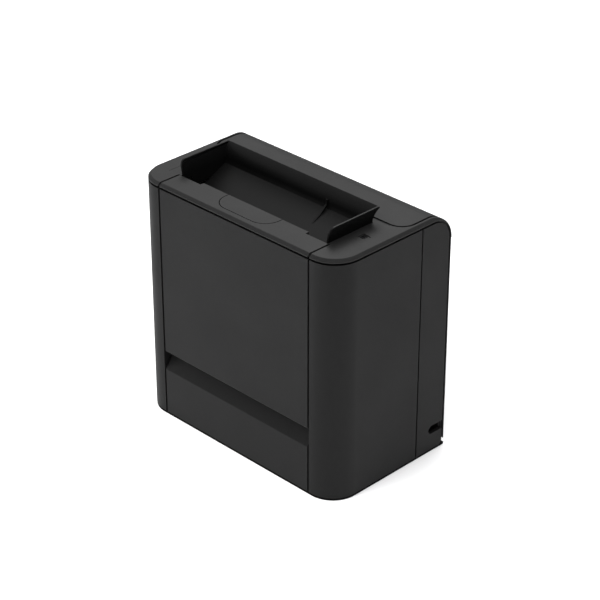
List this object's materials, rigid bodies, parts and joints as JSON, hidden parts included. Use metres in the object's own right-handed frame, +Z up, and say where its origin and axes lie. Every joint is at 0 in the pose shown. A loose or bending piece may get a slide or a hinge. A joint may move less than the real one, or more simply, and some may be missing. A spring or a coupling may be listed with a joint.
{
  "type": "upright ticket scanner",
  "caption": "Upright desktop ticket scanner: rounded casing, top feed mouth with black collar, hinged front door with release tab, and a front exit ramp.",
  "frame": {"origin": "middle of the underside, on the surface the scanner stands on", "axes": "+Z up, the front door faces -Y, +X towards the side with the lead exit"},
  "size_m": [0.1466, 0.0856, 0.1502],
  "materials": {
    "casing_side": "fine moulded texture",
    "casing_front": "fine moulded texture",
    "casing_top": "fine moulded texture",
    "collar_black": "satin",
    "base_black": "satin",
    "inner_plastic": "satin",
    "gear_plastic": "smooth acetal",
    "foot_rubber": "matte",
    "roller_rubber": "ground",
    "pinch_plastic": "smooth acetal",
    "steel_plate": "zinc-plated sheet",
    "steel_shaft": "ground",
    "spring_steel": "drawn",
    "screw_steel": "zinc-plated",
    "brass": "turned",
    "motor_dark": "black",
    "board_green": "solder mask",
    "connector_metal": "plated",
    "connector_black": "moulded",
    "sensor_body": "moulded",
    "sensor_glass": "polished",
    "light_lens": "smoked",
    "ribbon": "flat flex"
  },
  "bodies": {
    "chassis": {"base_plate": "base_black", "rubber_feet": "foot_rubber", "base_screws": "screw_steel", "side_shell_right": "casing_side", "side_shell_left": "casing_side", "rear_quarter_right": "casing_side", "rear_quarter_left": "casing_side", "top_frame": "casing_top", "rear_cover": "casing_top", "rear_cover_screws": "screw_steel", "feed_collar": "collar_black", "lower_front_panel": "casing_front", "status_light_lens": "light_lens", "status_light_board": "board_green", "chassis_plate_right": "steel_plate", "chassis_plate_left": "steel_plate", "chassis_cross_plate": "steel_plate", "machine_screws": "screw_steel", "rear_paper_guide": "inner_plastic", "rear_image_sensor": "sensor_body", "rear_sensor_glass": "sensor_glass", "paper_sensor_board": "board_green", "shaft_bushes": "brass", "idler_pin": "steel_shaft", "drive_motor": "motor_dark", "main_circuit_board": "board_green", "board_standoffs": "brass", "usb_connector": "connector_metal", "power_connector": "connector_black", "sensor_ribbon": "ribbon", "catch_springs": "spring_steel"},
    "upper_roller": {"upper_drive_shaft": "steel_shaft", "upper_drive_rollers": "roller_rubber", "upper_roller_gear": "gear_plastic"},
    "lower_roller": {"lower_drive_shaft": "steel_shaft", "lower_drive_rollers": "roller_rubber", "lower_roller_gear": "gear_plastic"},
    "idler": {"idler_gear": "gear_plastic"},
    "motor_rotor": {"motor_shaft": "steel_shaft", "motor_pinion": "brass"},
    "door": {"door_front_panel": "casing_front", "door_top_bar": "casing_top", "door_inner_frame": "inner_plastic", "door_screws": "screw_steel", "hinge_pins": "steel_shaft", "front_image_sensor": "sensor_body", "front_sensor_glass": "sensor_glass", "button_spring": "spring_steel", "latch_spring": "spring_steel", "upper_pinch_springs": "spring_steel", "lower_pinch_springs": "spring_steel"},
    "button": {"release_button": "casing_top"},
    "latch": {"latch_bar": "steel_plate"},
    "upper_carriage": {"upper_pinch_carriage": "inner_plastic"},
    "lower_carriage": {"lower_pinch_carriage": "inner_plastic"},
    "upper_pinch": {"upper_pinch_shaft": "steel_shaft", "upper_pinch_rollers": "pinch_plastic"},
    "lower_pinch": {"lower_pinch_shaft": "steel_shaft", "lower_pinch_rollers": "pinch_plastic"}
  },
  "joints": [
    {"name": "door_hinge", "type": "hinge", "parent": "chassis", "child": "door", "pos_m": [0, -0.0385, 0.0445], "axis": [1, 0, 0], "range_deg": [0, 60], "deforming": ["catch_springs"]},
    {"name": "release_button_press", "type": "slide", "parent": "door", "child": "button", "axis": [0, 0, -1], "range_m": [0, 0.002], "stiffness_N_per_m": 400, "springref_m": -0.002, "deforming": ["button_spring"]},
    {"name": "latch_turn", "type": "hinge", "parent": "door", "child": "latch", "pos_m": [0, -0.033, 0.131], "axis": [1, 0, 0], "range_deg": [-24, 0], "deforming": ["latch_spring"]},
    {"name": "upper_roller_spin", "type": "hinge", "parent": "chassis", "child": "upper_roller", "pos_m": [0, -0.017, 0.118], "axis": [1, 0, 0], "continuous": true},
    {"name": "lower_roller_spin", "type": "hinge", "parent": "chassis", "child": "lower_roller", "pos_m": [0, -0.017, 0.062], "axis": [1, 0, 0], "continuous": true},
    {"name": "idler_spin", "type": "hinge", "parent": "chassis", "child": "idler", "pos_m": [0, -0.00872, 0.09], "axis": [1, 0, 0], "continuous": true},
    {"name": "motor_spin", "type": "hinge", "parent": "chassis", "child": "motor_rotor", "pos_m": [0, 0.00808, 0.09], "axis": [1, 0, 0], "continuous": true},
    {"name": "upper_pinch_slide", "type": "slide", "parent": "door", "child": "upper_carriage", "axis": [0, -1, 0], "range_m": [0, 0.001], "stiffness_N_per_m": 1200, "springref_m": -0.0015, "deforming": ["upper_pinch_springs"]},
    {"name": "lower_pinch_slide", "type": "slide", "parent": "door", "child": "lower_carriage", "axis": [0, -1, 0], "range_m": [0, 0.001], "stiffness_N_per_m": 1200, "springref_m": -0.0015, "deforming": ["lower_pinch_springs"]},
    {"name": "upper_pinch_spin", "type": "hinge", "parent": "upper_carriage", "child": "upper_pinch", "pos_m": [0, -0.02865, 0.118], "axis": [1, 0, 0], "continuous": true},
    {"name": "lower_pinch_spin", "type": "hinge", "parent": "lower_carriage", "child": "lower_pinch", "pos_m": [0, -0.02865, 0.062], "axis": [1, 0, 0], "continuous": true}
  ],
  "couplings": [
    {"joint": "latch_turn", "follows": "release_button_press", "rad_per_m": -209.44},
    {"joint": "lower_roller_spin", "follows": "upper_roller_spin", "ratio": 1},
    {"joint": "idler_spin", "follows": "upper_roller_spin", "ratio": -1.6071},
    {"joint": "motor_spin", "follows": "upper_roller_spin", "ratio": 3.2143},
    {"joint": "upper_pinch_spin", "follows": "upper_roller_spin", "ratio": -1.5556},
    {"joint": "lower_pinch_spin", "follows": "upper_roller_spin", "ratio": -1.5556}
  ]
}
